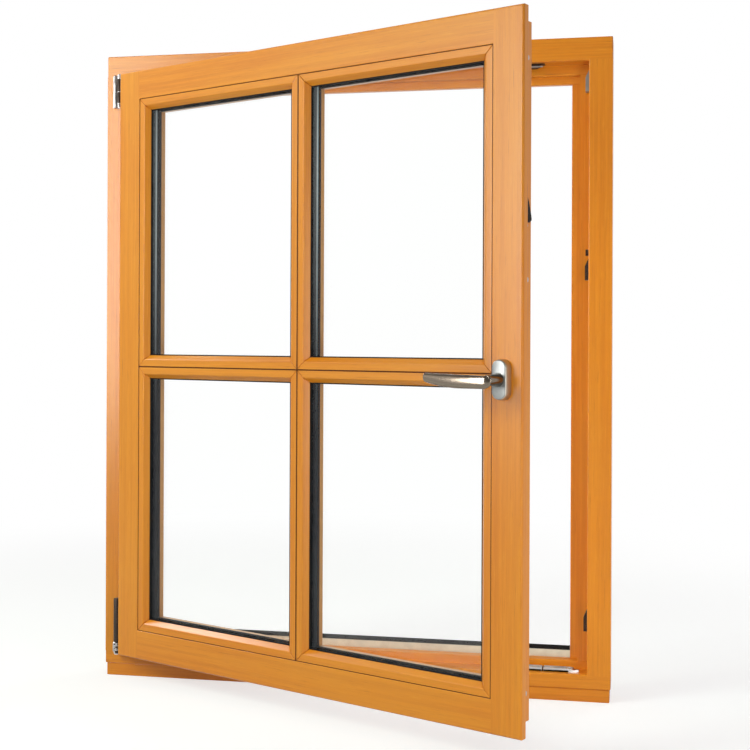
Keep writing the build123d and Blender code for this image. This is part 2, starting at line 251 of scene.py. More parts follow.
def makeFloor(scene):
    ground = bmesh.new()
    bmesh.ops.create_grid(ground, x_segments=4, y_segments=4, size=studio["floorReach"])
    mesh = bpy.data.meshes.new("floor")
    ground.to_mesh(mesh)
    ground.free()
    floor = bpy.data.objects.new("floor", mesh)
    scene.collection.objects.link(floor)
    finish = Finish("paleFloor")
    tree = finish.tree
    x, y, _ = finish.split(finish.place())
    away = (x * x + y * y) ** 0.5
    far = finish.smooth(away, *studio["floorFar"])
    shown = seenBy(tree, "Is Camera Ray", "Is Glossy Ray", "Is Transmission Ray")
    matt = finish.node("ShaderNodeBsdfDiffuse", None, {0: studio["floor"]})
    lift = finish.node("ShaderNodeEmission", None, {0: colour(1, 1, 1), 1: studio["floorLift"]})
    white = finish.node("ShaderNodeEmission", None, {0: colour(1, 1, 1), 1: 1.0})
    lifted = finish.node("ShaderNodeAddShader", None, {0: matt, 1: lift})
    seen = mixShaders(tree, far, lifted, white)
    total = mixShaders(tree, shown, matt, seen)
    finish.node("ShaderNodeOutputMaterial", None, {0: total})
    mesh.materials.append(finish.material)


def makeStudio():
    scene = bpy.context.scene
    scene.view_settings.view_transform = "Standard"
    makeWorld(scene)
    for name, place, aim, width, height, watts, part, tint in studio["lamps"]:
        lamp = bpy.data.lights.new(name, "AREA")
        lamp.shape = "RECTANGLE"
        lamp.size, lamp.size_y = width, height
        lamp.energy = watts
        lamp.color = tint
        holder = bpy.data.objects.new(name, lamp)
        scene.collection.objects.link(holder)
        holder.visible_diffuse = part == "matt"
        holder.visible_glossy = part == "gloss"
        holder.visible_transmission = False    # the panes already let its light through
        holder.location = place
        holder.rotation_euler = (Vector(aim) - Vector(place)).to_track_quat("-Z", "Y").to_euler()
    makeFloor(scene)


makeStudio()
print("studio set")

# lacquered wood
wood = {
    "pale": colour(0.880, 0.374, 0.029),
    "honey": colour(0.800, 0.272, 0.013),
    "deep": colour(0.640, 0.174, 0.007),
    "pore": colour(0.430, 0.105, 0.008),
    "endGrain": colour(0.500, 0.140, 0.011),
    "grain": {  # scales across, through and along the wood, detail, roughness of the noise
        "drift": ((9, 9, 1.3), 2.0, 0.5),
        "broad": ((14, 14, 2.1), 2.0, 0.5),
        "rings": ((190, 120, 2.2), 3.0, 0.55),
        "streaks": ((620, 420, 17), 3.0, 0.6),
        "fibres": ((2100, 1500, 60), 2.0, 0.5),
    },
    "waver": 0.012,     # how far the grain bends
    "deepBand": (0.36, 0.66, 0.45),      # limits on the noise and share of the colour
    "paleStreak": (0.44, 0.28, 0.5),
    "paleArea": (0.35, 0.70, 0.35),
    "fleck": (0.60, 0.74, 0.45),
    "fibre": (0.55, 0.75, 0.16),
    "onEnd": (0.6, 0.9, 0.7),
    "rough": (0.26, 0.36),
    "coat": 0.17,
    "coatRough": 0.22,
    "shine": 0.30,
    "relief": (0.6, 0.4),      # streaks and fibres
    "bump": (0.16, 0.0006),
    "revealShade": colour(0.400, 0.240, 0.085),    # painted shade: greyer, darker wood on the rebate outside the panes
    "revealShare": 0.75,
    "revealWidth": (0.43, 0.42),
    "revealMiddle": 0.629,
    "revealHeight": (0.54, 0.53),
    "revealDepth": (-0.017, -0.015),
    "revealFacing": (0.6, 0.9),
}


def woodFinish(name, along, turned=False, cell=None):
    finish = Finish(name)
    x, y, z = finish.split(finish.place("Object", turned))
    nx, _, nz = finish.split(finish.place("Normal", turned))
    if along == "z":
        run, side, end = z, x, abs(nz)
    else:
        run, side, end = x, z, abs(nx)
    if cell:   # a mitred ring: upright sides and level sides
        x0, x1, z0, z1 = cell
        toSide = (x1 - x0) / 2 - abs(x - (x0 + x1) / 2)
        toLevel = (z1 - z0) / 2 - abs(z - (z0 + z1) / 2)
        upright = toSide.math("LESS_THAN", toSide, toLevel)
        run = x + (z - x) * upright
        side = z + (x - z) * upright
        end = abs(nx) + (abs(nz) - abs(nx)) * upright

    def grain(kind, across, deep):
        (wide, thick, long), detail, rough = wood["grain"][kind]
        return finish.noise(finish.join(across * wide, deep * thick, run * long), detail=detail, rough=rough)

    def tint(base, value, kind, tone):
        low, high, share = wood[kind]
        return finish.mix(finish.smooth(value, low, high) * share, base, wood[tone])

    bend = (grain("drift", side, y) - 0.5) * wood["waver"]
    across, deep = side + bend, y + bend
    streaks = grain("streaks", across, deep)
    fibres = grain("fibres", across, deep)
    base = tint(wood["honey"], grain("rings", across, deep), "deepBand", "deep")
    base = tint(base, streaks, "paleStreak", "pale")
    base = tint(base, grain("broad", side, y), "paleArea", "pale")
    base = tint(base, streaks, "fleck", "pore")
    base = tint(base, fibres, "fibre", "pore")
    base = tint(base, end, "onEnd", "endGrain")
    # painted shade on the sash's rebate behind the panes, where it faces the glass
    if turned and not cell:
        within = (finish.smooth(abs(x), *wood["revealWidth"])
                  * finish.smooth(abs(z - wood["revealMiddle"]), *wood["revealHeight"]))
        inward = finish.smooth(nx.math("MAXIMUM", abs(nx), abs(nz)), *wood["revealFacing"])
        behind = finish.smooth(y, *wood["revealDepth"])
        base = finish.mix(behind * within * inward * wood["revealShare"], base, wood["revealShade"])
    smoothest, roughest = wood["rough"]
    return finish.surface({
        "Base Color": base,
        "Roughness": smoothest + (roughest - smoothest) * streaks,
        "Coat Weight": wood["coat"],
        "Coat Roughness": wood["coatRough"],
        "Specular IOR Level": wood["shine"],
        "Normal": finish.bump(streaks * wood["relief"][0] + fibres * wood["relief"][1], *wood["bump"]),
    })


# metals, glass, seals
metal = {"cloudScale": 55, "cloud": (0.3, 0.7), "cloudShare": 0.5, "roughSwing": 0.22, "bump": (0.06, 0.0003)}


def metalFinish(name, base, dark, rough, scale=900, brushed=None):
    finish = Finish(name)
    place = finish.place()
    if brushed:
        x, y, z = finish.split(place)
        place = finish.join(x * brushed[0], y * brushed[1], z * brushed[2])
    grain = finish.noise(place, scale=scale, detail=3.0)
    cloud = finish.noise(finish.place(), scale=metal["cloudScale"])
    return finish.surface({
        "Base Color": finish.mix(finish.smooth(cloud, *metal["cloud"]) * metal["cloudShare"], base, dark),
        "Metallic": 1.0,
        "Roughness": rough + (grain - 0.5) * metal["roughSwing"],
        "Normal": finish.bump(grain, *metal["bump"]),
    })


matt = {"wear": (0.4, 0.75), "roughSwing": 0.2, "bump": (0.12, 0.0004)}


def mattFinish(name, base, worn, rough, scale, metallic=0.0, shine=0.5):
    finish = Finish(name)
    grain = finish.noise(finish.place(), scale=scale, detail=3.0)
    return finish.surface({
        "Base Color": finish.mix(finish.smooth(grain, *matt["wear"]), base, worn),
        "Metallic": metallic,
        "Roughness": rough + (grain - 0.5) * matt["roughSwing"],
        "Specular IOR Level": shine,
        "Normal": finish.bump(grain, *matt["bump"]),
    })


glass = {
    "tint": colour(0.997, 1.0, 0.998),
    "bend": 1.25,
    "shine": 0.02,      # bloomed, almost free of reflections
    "shade": colour(0.945, 0.955, 0.95),      # what its shadow lets through
}


def glassFinish():
    finish = Finish("clearFloatGlass")
    clear = finish.node("ShaderNodeBsdfPrincipled", None, {
        "Base Color": glass["tint"],
        "Roughness": 0.0,
        "IOR": glass["bend"],
        "Specular IOR Level": glass["shine"],
        "Transmission Weight": 1.0,
    })
    shade = finish.node("ShaderNodeBsdfTransparent", None, {0: glass["shade"]})
    both = mixShaders(finish.tree, seenBy(finish.tree, "Is Shadow Ray"), clear, shade)
    finish.node("ShaderNodeOutputMaterial", None, {0: both})
    return finish.material


spacer = {
    "front": -0.036, "back": -0.020,
    # bar and grey are painted reflection colours, shown only where the mask in spacerFinish allows
    "bar": colour(0.36, 0.43, 0.44), "grey": colour(0.085, 0.095, 0.100), "black": colour(0.004, 0.006, 0.009),
    "grain": (400, 900, 25),
    "reflectionHeights": (0.50, 1.02),      # heights between which the painted reflection comes in
    "facing": (0.3, 0.8),
    "mottle": (0.75, 0.4),
    "greyUpTo": (0.86, 0.70),      # shares of the depth
    "barFrom": (0.52, 0.68), "barUpTo": (0.90, 0.82),
    "rough": (0.42, 0.1),
    "shine": 0.06,
    "bump": (0.05, 0.0003),
}


def spacerFinish():   # black sealant round a spacer bar; a grey band and a bluish bar are painted in as reflection, on upright sides only and fading out towards the bottom
    finish = Finish("spacerWithPaintedReflection")
    x, y, z = finish.split(finish.place("Object", True))
    nx = finish.split(finish.place("Normal", True))[0]
    depth = (y - spacer["front"]) / (spacer["back"] - spacer["front"])
    wide, thick, tall = spacer["grain"]
    grain = finish.noise(finish.join(x * wide, y * thick, z * tall))
    # painted reflection mask: upright sides and upper heights only, mottled
    shown = finish.smooth(z, *spacer["reflectionHeights"]) * finish.smooth(abs(nx), *spacer["facing"])
    shown = shown * (spacer["mottle"][0] + grain * spacer["mottle"][1])
    bar = finish.smooth(depth, *spacer["barFrom"]) * finish.smooth(depth, *spacer["barUpTo"])
    tone = finish.mix(finish.smooth(depth, *spacer["greyUpTo"]) * shown, spacer["black"], spacer["grey"])
    tone = finish.mix(bar * shown, tone, spacer["bar"])
    return finish.surface({
        "Base Color": tone,
        "Roughness": spacer["rough"][0] + grain * spacer["rough"][1],
        "Specular IOR Level": spacer["shine"],
        "Normal": finish.bump(grain, *spacer["bump"]),
    })


rosetteLook = {
    "silver": (colour(0.265, 0.275, 0.268), colour(0.225, 0.235, 0.229)),
    "reflectedBrown": colour(0.55, 0.48, 0.38),
    "front": (-0.45, -0.9),
    "grainScale": 1600,
    "cloudScale": 60, "cloud": (0.3, 0.7),
    "rough": 0.40, "roughSwing": 0.16,
    "bump": (0.05, 0.0002),
}


def rosetteFinish():   # silvery front; the brown sides are a painted reflection of the wood beside them
    finish = Finish("satinRosette")
    ny = finish.split(finish.place("Normal", True))[1]
    grain = finish.noise(finish.place(), scale=rosetteLook["grainScale"])
    cloud = finish.noise(finish.place(), scale=rosetteLook["cloudScale"])
    silver = finish.mix(finish.smooth(cloud, *rosetteLook["cloud"]), *rosetteLook["silver"])
    # painted reflection: sides and front of one metal get different colours by the way they face
    front = finish.smooth(ny, *rosetteLook["front"])
    return finish.surface({
        "Base Color": finish.mix(front, rosetteLook["reflectedBrown"], silver),
        "Metallic": 1.0,
        "Roughness": rosetteLook["rough"] + (grain - 0.5) * rosetteLook["roughSwing"],
        "Normal": finish.bump(grain, *rosetteLook["bump"]),
    })


finishes = {
    "frameUpright": woodFinish("frameUprightWood", "z"),
    "frameLevel": woodFinish("frameLevelWood", "x"),
    "sashUpright": woodFinish("sashUprightWood", "z", turned=True),
    "sashLevel": woodFinish("sashLevelWood", "x", turned=True),
    "glass": glassFinish(),
    "spacer": spacerFinish(),
    "seal": mattFinish("blackSeal", colour(0.010, 0.010, 0.010), colour(0.018, 0.018, 0.018),
                       0.60, 400, shine=0.10),
    "bronze": metalFinish("bronzeAluminium", colour(0.80, 0.73, 0.57), colour(0.64, 0.57, 0.44),
                          0.40, 500, (0.06, 1, 1)),
    "zinc": metalFinish("zincPlate", colour(0.52, 0.52, 0.51), colour(0.36, 0.36, 0.35), 0.34),
    "dark": mattFinish("darkBronzePlate", colour(0.034, 0.022, 0.016), colour(0.066, 0.044, 0.032),
                       0.40, 300, 0.20, 0.30),
    "black": mattFinish("blackenedSteel", colour(0.010, 0.006, 0.004), colour(0.022, 0.014, 0.010),
                        0.5, 300, shine=0.12),
    "nickel": metalFinish("polishedNickel", colour(0.215, 0.178, 0.138), colour(0.170, 0.140, 0.108), 0.16, 1500),
    "rosette": rosetteFinish(),
    "tiltZinc": metalFinish("greyZinc", colour(0.68, 0.69, 0.69), colour(0.50, 0.51, 0.52), 0.36),
    # dark bead joints: partly stain, partly painted groove shadow
    "jointStainAndShadow": mattFinish("jointStainAndGrooveShadow", colour(0.105, 0.030, 0.006), colour(0.160, 0.050, 0.010),
                            0.6, 300, shine=0.10),
}
cells = {}
glazing = {"left": (-0.407, 0.0), "right": (0.0, 0.407), "lower": (0.104, 0.625), "upper": (0.625, 1.154)}
for row in ("lower", "upper"):
    for column in ("left", "right"):
        cell = (*glazing[column], *glazing[row])
        cells[f"{row}_{column}"] = cell
        finishes[f"{row}_{column}_beads"] = woodFinish(f"{row}{column.title()}BeadWood", "z", True, cell)
print("finishes made:", len(finishes))

worn = {
    "frameUpright": ["hinge_jamb", "lock_jamb"],
    "frameLevel": ["frame_head", "frame_sill", "base_strip"],
    "sashUpright": ["hinge_stile", "lock_stile", "vertical_bar"],
    "sashLevel": ["sash_top_rail", "sash_bottom_rail", "level_bar"],
    "glass": [f"{c}_pane" for c in cells],
    "spacer": [f"{c}_spacer" for c in cells],
    "seal": ["inner_glazing_seals", "outer_glazing_seals", "rain_bar_seal"],
    "bronze": ["rain_bar"],
    "zinc": ["top_hinge_bearing", "top_hinge_band", "upper_striker", "lock_faceplate"],
    "tiltZinc": ["corner_bearing", "tilt_striker"],
    "dark": ["corner_band", "middle_striker", "lower_striker", "head_striker", "lifter_roller", "sash_lifter"],
    "nickel": ["handle_lever"],
    "rosette": ["handle_rosette"],
}
for c in cells:
    worn[f"{c}_beads"] = [f"{c}_beads"]
for finish, names in worn.items():
    for name in names:
        mesh = nodes[name].data
        mesh.materials.clear()
        mesh.materials.append(finishes[finish])

# eased edges on the wood, which also show the joints
easing = {
    "widths": {"frameUpright": 0.0018, "frameLevel": 0.0018, "sashUpright": 0.0013, "sashLevel": 0.0013},
    "beads": 0.0011,
    "weld": 0.00002,
    "flat": math.radians(0.6),      # faces that meet at less are joined
    "sharp": math.radians(35),      # edges that turn more are eased
    "steps": 2,
    "weight": 80,
}
for finish, names in worn.items():
    width = easing["beads"] if finish.endswith("_beads") else easing["widths"].get(finish, 0)
    for name in names if width else []:
        piece = nodes[name]
        for face in piece.data.polygons:
            face.use_smooth = True
        weld = piece.modifiers.new("weld", "WELD")
        weld.merge_threshold = easing["weld"]
        flat = piece.modifiers.new("flatten", "DECIMATE")
        flat.decimate_type = "DISSOLVE"
        flat.angle_limit = easing["flat"]
        ease = piece.modifiers.new("easedEdge", "BEVEL")
        ease.width = width
        ease.segments = easing["steps"]
        ease.limit_method = "ANGLE"
        ease.angle_limit = easing["sharp"]
        ease.harden_normals = False
        even = piece.modifiers.new("evenShading", "WEIGHTED_NORMAL")
        even.keep_sharp = False
        even.weight = easing["weight"]
print("edges eased")

# tools for new pieces, which are laid out with the sash closed
toRoom = (0, -1, 0)
upwards = ((0, 0, 1), (0, 1, 0))      # out of a level surface
making = {"sharp": math.radians(38), "leastCorner": 0.0001, "leastMitre": 0.3}


def putPiece(name, body, finish, mesh, turned=True):
    if turned:
        bmesh.ops.transform(mesh, matrix=sashTurn, verts=mesh.verts)
    bmesh.ops.recalc_face_normals(mesh, faces=mesh.faces)
    for face in mesh.faces:
        face.smooth = True
    data = bpy.data.meshes.new(name)
    mesh.to_mesh(data)
    mesh.free()
    data.set_sharp_from_angle(angle=making["sharp"])
    data.materials.append(finishes[finish])
    piece = bpy.data.objects.new(name, data)
    bpy.context.scene.collection.objects.link(piece)
    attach(piece, body)
    return piece


def loftRings(mesh, rings):
    rows = [[mesh.verts.new(p) for p in ring] for ring in rings]
    count = len(rings[0])
    for first, second in zip(rows, rows[1:]):
        for i in range(count):
            j = (i + 1) % count
            mesh.faces.new((first[i], first[j], second[j], second[i]))
    mesh.faces.new(rows[0])
    mesh.faces.new(rows[-1])


def settle(piece):   # keeps the result of the modifiers as the mesh
    depsgraph = bpy.context.evaluated_depsgraph_get()
    data = bpy.data.meshes.new_from_object(piece.evaluated_get(depsgraph))
    piece.modifiers.clear()
    piece.data = data


def spotAt(place, out, up=(0, 0, 1)):   # local z points out of the surface, local y up
    out, up = Vector(out), Vector(up)
    turn = Matrix((up.cross(out), up, out)).transposed().to_4x4()
    return Matrix.Translation(place) @ turn


def onCircle(sides):
    return [(math.cos(a), math.sin(a)) for a in (2 * math.pi * k / sides for k in range(sides))]


def turnPart(mesh, spot, profile, sides=32):   # profile of height and radius
    loftRings(mesh, [[spot @ Vector((r * c, r * s, h)) for c, s in onCircle(sides)] for h, r in profile])


def cutPlate(mesh, spot, shape, depth, ease, steps=3):
    turns = [math.pi / 2 * i / steps for i in range(steps + 1)]
    levels = [(0.0, 0.0)] + [(depth - ease * (1 - math.sin(t)), ease * (1 - math.cos(t))) for t in turns]
    loftRings(mesh, [[spot @ Vector((x, y, h)) for x, y in shape(inset)] for h, inset in levels])


def roundedShape(width, height, corner, steps=5):
    def shape(inset):
        r = max(corner - inset, making["leastCorner"])
        w, h = width / 2 - inset - r, height / 2 - inset - r
        points = []
        for cx, cy, start in ((w, h, 0), (-w, h, 90), (-w, -h, 180), (w, -h, 270)):
            for i in range(steps + 1):
                a = math.radians(start + 90 * i / steps)
                points.append((cx + r * math.cos(a), cy + r * math.sin(a)))
        return points
    return shape


def drawnShape(points):   # a convex outline, run anticlockwise
    def shape(inset):
        moved = []
        count = len(points)
        for i in range(count):
            before, here, after = (Vector(points[(i + k) % count]) for k in (-1, 0, 1))
            first, second = (here - before).normalized(), (after - here).normalized()
            normals = Vector((-first.y, first.x)), Vector((-second.y, second.x))
            bisector = (normals[0] + normals[1]).normalized()
            moved.append(here + bisector * (inset / max(bisector.dot(normals[0]), making["leastMitre"])))
        return [(p.x, p.y) for p in moved]
    return shape


screwHead = {  # in shares of the radius
    "steps": ((1.0, -0.15), (1.0, 0.02), (0.90, 0.16), (0.66, 0.27), (0.58, 0.28), (0.36, 0.31), (0.15, 0.32)),
    "slotReach": 0.6, "slotMiddle": 0.2, "slotWidth": 0.42, "slotDepth": 0.34,
}


def addScrew(mesh, spot, radius, sides=32):   # raised countersunk head with a cross slot
    rings = []
    for share, lift in screwHead["steps"]:
        ring = []
        for c, s in onCircle(sides):
            crossed = abs(2 * c * s) < screwHead["slotWidth"] or share < screwHead["slotMiddle"]
            slot = share < screwHead["slotReach"] and crossed
            height = radius * (lift - screwHead["slotDepth"] * slot)
            ring.append(spot @ Vector((radius * share * c, radius * share * s, height)))
        rings.append(ring)
    loftRings(mesh, rings)


def sweepRing(mesh, bounds, insets, profile):   # profile of share inwards and depth
    x0, x1, z0, z1 = bounds
    left, right, low, high = insets
    rows = []
    corners = ((x0, z0, left, low), (x1, z0, -right, low), (x1, z1, -right, -high), (x0, z1, left, -high))
    for x, z, dx, dz in corners:
        rows.append([mesh.verts.new((x + dx * share, y, z + dz * share)) for share, y in profile])
    count = len(profile)
    for k in range(4):
        first, second = rows[k], rows[(k + 1) % 4]
        for i in range(count):
            j = (i + 1) % count
            mesh.faces.new((first[i], first[j], second[j], second[i]))


# the lever: a cast grip that swells under the hand, on a round neck
lever = {
    "x": 0.429, "z": 0.616, "front": -0.1144, "back": -0.1016,
    "crest": 0.097, "crown": 1.00,      # place and radius of the bow along the front
    "end": 0.0075, "length": 0.116, "straight": 0.046,
    "top": 0.0070, "low": 0.0140, "tipTop": 0.0103, "tipLow": 0.0041,
    "swell": 2.35,      # squareness of the section
    "endCap": 0.0120, "tipCap": 0.0030,
    "foot": -0.0685, "neckEnd": -0.1065, "footRadius": 0.0103, "waistRadius": 0.0084,
    "sides": 40,
    "endRings": 8, "endStart": 0.35, "gripRings": 36, "tipRings": 6, "tipShare": 0.62, "neckRings": 12,
    "voxel": 0.0008, "polish": 0.5, "polishRounds": 14,
}


def leverEdges(along):   # lower and upper edge at a distance from the spindle
    share = (along + lever["end"]) / (lever["length"] + lever["end"])
    high = lever["top"] + (lever["tipTop"] - lever["top"]) * share
    reach = lever["length"] - lever["straight"]
    rise = lever["low"] - lever["tipLow"]
    radius = (reach ** 2 + rise ** 2) / (2 * rise)
    past = max(0.0, along - lever["straight"])
    low = -lever["low"] + radius - math.sqrt(radius ** 2 - past ** 2)
    return low, high


def leverSection(along, shrink):
    low, high = leverEdges(along)
    middle, half = (low + high) / 2, (high - low) / 2
    front = lever["front"] + (along - lever["crest"]) ** 2 / (2 * lever["crown"])
    core, thick = (front + lever["back"]) / 2, lever["back"] - front
    power = 2 / lever["swell"]
    ring = []
    for c, s in onCircle(lever["sides"]):
        dz = math.copysign(abs(s) ** power, s) * half * shrink
        dy = math.copysign(abs(c) ** power, c) * thick / 2 * shrink
        ring.append((lever["x"] - along, core + dy, lever["z"] + middle + dz))
    return ring


def makeLever():
    mesh = bmesh.new()
    rings = []
    start, stop = -lever["end"], lever["length"]
    for i in range(lever["endRings"]):    # rounded end by the neck
        turn = math.pi / 2 * (i + lever["endStart"]) / lever["endRings"]
        rings.append(leverSection(start + lever["endCap"] * (1 - math.cos(turn)), math.sin(turn)))
    grip = stop - start - lever["endCap"] - lever["tipCap"]
    for i in range(lever["gripRings"] + 1):
        rings.append(leverSection(start + lever["endCap"] + grip * i / lever["gripRings"], 1.0))
    for i in range(lever["tipRings"]):    # blunt tip
        turn = math.pi / 2 * (i + 1) / (lever["tipRings"] + 1)
        shrink = lever["tipShare"] + (1 - lever["tipShare"]) * math.cos(turn)
        rings.append(leverSection(stop - lever["tipCap"] * (1 - math.sin(turn)), shrink))
    loftRings(mesh, rings)
    neck = []
    for i in range(lever["neckRings"] + 1):
        share = i / lever["neckRings"]
        y = lever["foot"] + (lever["neckEnd"] - lever["foot"]) * share
        radius = lever["footRadius"] + (lever["waistRadius"] - lever["footRadius"]) * share
        neck.append([(lever["x"] + radius * c, y, lever["z"] + radius * s) for c, s in onCircle(lever["sides"])])
    loftRings(mesh, neck)
    piece = putPiece("cast_lever", "handle", "nickel", mesh)
    cast = piece.modifiers.new("cast", "REMESH")
    cast.mode = "VOXEL"
    cast.voxel_size = lever["voxel"]
    cast.use_smooth_shade = True
    polish = piece.modifiers.new("polish", "SMOOTH")
    polish.factor = lever["polish"]
    polish.iterations = lever["polishRounds"]
    settle(piece)
    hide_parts("handle_lever")


makeLever()

# the rosette: an oval plate with drafted sides, a soft rim and a well for the neck
rosette = {
    "width": 0.029, "height": 0.066, "corner": 0.0138, "cornerSteps": 9, "face": -0.054,
    "sides": [  # height, inset
        (0.0, 0.0), (0.0010, 0.0), (0.0126, 0.0008), (0.0141, 0.0013), (0.0151, 0.0022), (0.0155, 0.0034),
    ],
    "well": [(0.0119, 0.0155), (0.0113, 0.0156), (0.0109, 0.0152), (0.0107, 0.0143)],      # radius, height
}


def makeRosette():
    mesh = bmesh.new()
    outline = roundedShape(rosette["width"], rosette["height"], rosette["corner"], rosette["cornerSteps"])
    spot = spotAt((lever["x"], rosette["face"], lever["z"]), toRoom)
    rings = [[spot @ Vector((x, y, h)) for x, y in outline(inset)] for h, inset in rosette["sides"]]
    rays = [Vector(point).normalized() for point in outline(rosette["sides"][-1][1])]
    rings += [[spot @ Vector((r * ray.x, r * ray.y, h)) for ray in rays] for r, h in rosette["well"]]
    loftRings(mesh, rings)
    piece = putPiece("oval_rosette", "sash", "rosette", mesh)
    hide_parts("handle_rosette")


makeRosette()
print("handle made")

# a soft gasket behind the lip of the sash
gasket = {
    "x": 0.447, "low": 0.064, "high": 1.194, "reach": 0.0070, "back": -0.039, "bulb": -0.0357,
    "round": (0.0004, 0.0005),      # how far the bulb falls off on each side
}


def makeGasket():
    mesh = bmesh.new()
    back, bulb = gasket["back"], gasket["bulb"]
    middle = (back + bulb) / 2
    outer, inner = gasket["round"]
    profile = [(0.05, back), (1.0, back), (1.03, middle), (0.82, bulb - outer),
               (0.5, bulb), (0.2, bulb - inner), (0.05, middle)]
    reach = -gasket["reach"]
    sweepRing(mesh, (-gasket["x"], gasket["x"], gasket["low"], gasket["high"]), (reach,) * 4, profile)
    putPiece("sash_gasket", "sash", "seal", mesh)


makeGasket()

# dark line round each set of beads: partly a stained joint, partly painted shadow in the groove
joint = {"outer": 0.0014, "middle": 0.0012, "front": -0.05312, "back": -0.0527}


def makeJointLines():
    mesh = bmesh.new()
    for name, bounds in cells.items():
        wide, thin = joint["outer"], joint["middle"]
        left, right = (wide, thin) if name.endswith("left") else (thin, wide)
        low, high = (wide, thin) if name.startswith("lower") else (thin, wide)
        profile = [(0.0, joint["front"]), (1.0, joint["front"]), (1.0, joint["back"]), (0.0, joint["back"])]
        sweepRing(mesh, bounds, (left, right, low, high), profile)
    putPiece("bead_joint_lines", "sash", "jointStainAndShadow", mesh)


makeJointLines()
print("gasket and joints laid")

# hinges: dark covers, a bearing post, knuckle rings and adjusting screws
covers = {  # name: body, lower end, upper end, radius
    "top_band_cover": ("sash", 1.1762, 1.2015, 0.0054),
    "top_bearing_cover": ("frame", 1.1530, 1.1746, 0.0054),
    "corner_band_cover": ("sash", 0.0712, 0.1588, 0.0071),
}
coverEase = {"width": 0.0009, "share": 0.3, "sides": 40}
hingePost = {
    "x": -0.4846, "y": -0.0386, "radius": 0.0034, "low": 1.1450, "high": 1.2105,
    "ends": ((0, 0.0022), (0.0004, 0.0030), (0.0012, 0.0034)),      # distance from the end, radius
    "grooves": (1.1660, 1.1900), "grooveHalf": (0.0011, 0.0008), "grooveShare": 0.62,
    "plateY": -0.034, "plateWidth": 0.0118, "plateDepth": 0.0028, "plateCorner": 0.002, "plateEase": 0.0007,
}
cornerKnuckle = {
    "low": 0.0482, "high": 0.0686, "radius": 0.0067, "sides": 40,
    "chamfer": (0.0008, 0.0012),      # height, inset
    "grooves": ((0.30, 0.33, 0.40, 0.43), (0.72, 0.75, 0.82, 0.85)), "grooveDepth": 0.0013,
    "screws": ((-125, 0.0610), (-82, 0.0575), (-125, 0.0512), (-78, 0.0660)),      # angle, height
    "screw": 0.0025, "screwSeat": 0.0004,
}
cornerPlate = {
    "fromPin": 0.0078, "y": -0.034, "z": 0.058, "width": 0.011, "height": 0.020, "corner": 0.002,
    "depth": 0.0032, "ease": 0.0007,
    "screws": (0.0620, 0.0535), "screwFromPin": 0.0098, "screwY": -0.0372, "screw": 0.0024, "screwSides": 24,
}


def pinSpot(z):
    return spotAt((hinge["x"], hinge["y"], z), *upwards)


def makeCovers():
    ease, share = coverEase["width"], coverEase["share"]
    for name, (body, low, high, radius) in covers.items():
        mesh = bmesh.new()
        tall = high - low
        profile = [(0, radius - ease), (ease * share, radius - ease * share), (ease, radius),
                   (tall - ease, radius), (tall - ease * share, radius - ease * share), (tall, radius - ease)]
        turnPart(mesh, pinSpot(low), profile, coverEase["sides"])
        putPiece(name, body, "dark", mesh, turned=body == "sash")


def makeHingePost():
    mesh = bmesh.new()
    post, r = hingePost, hingePost["radius"]
    tall = post["high"] - post["low"]
    middle = (post["high"] + post["low"]) / 2
    cutPlate(mesh, spotAt((post["x"], post["plateY"], middle), toRoom),
             roundedShape(post["plateWidth"], tall, post["plateCorner"]), post["plateDepth"], post["plateEase"])
    profile = list(post["ends"])
    wide, narrow = post["grooveHalf"]
    waist = r * post["grooveShare"]
    for groove in post["grooves"]:
        h = groove - post["low"]
        profile += [(h - wide, r), (h - narrow, waist), (h + narrow, waist), (h + wide, r)]
    profile += [(tall - away, radius) for away, radius in reversed(post["ends"])]
    turnPart(mesh, spotAt((post["x"], post["y"], post["low"]), *upwards), profile)
    putPiece("top_bearing_post", "frame", "zinc", mesh, turned=False)


def makeCornerBearing():
    mesh = bmesh.new()
    low, r = cornerKnuckle["low"], cornerKnuckle["radius"]
    tall = cornerKnuckle["high"] - low
    rise, inset = cornerKnuckle["chamfer"]
    waist = r - cornerKnuckle["grooveDepth"]
    profile = [(0, r - inset), (rise, r)]
    for groove in cornerKnuckle["grooves"]:
        profile += [(tall * share, radius) for share, radius in zip(groove, (r, waist, waist, r))]
    profile += [(tall - rise, r), (tall, r - inset)]
    turnPart(mesh, pinSpot(low), profile, cornerKnuckle["sides"])
    putPiece("corner_knuckle", "frame", "dark", mesh, turned=False)
    mesh = bmesh.new()
    plate = cornerPlate
    for angle, z in cornerKnuckle["screws"]:
        out = Vector((math.cos(math.radians(angle)), math.sin(math.radians(angle)), 0))
        seat = Vector((hinge["x"], hinge["y"], z)) + out * (r - cornerKnuckle["screwSeat"])
        addScrew(mesh, spotAt(seat, out), cornerKnuckle["screw"], plate["screwSides"])
    cutPlate(mesh, spotAt((hinge["x"] - plate["fromPin"], plate["y"], plate["z"]), toRoom),
             roundedShape(plate["width"], plate["height"], plate["corner"]), plate["depth"], plate["ease"])
    for z in plate["screws"]:
        spot = spotAt((hinge["x"] - plate["screwFromPin"], plate["screwY"], z), toRoom)
        addScrew(mesh, spot, plate["screw"], plate["screwSides"])
    putPiece("corner_bearing_screws", "frame", "zinc", mesh, turned=False)


makeCovers()
makeHingePost()
makeCornerBearing()
print("hinges dressed")

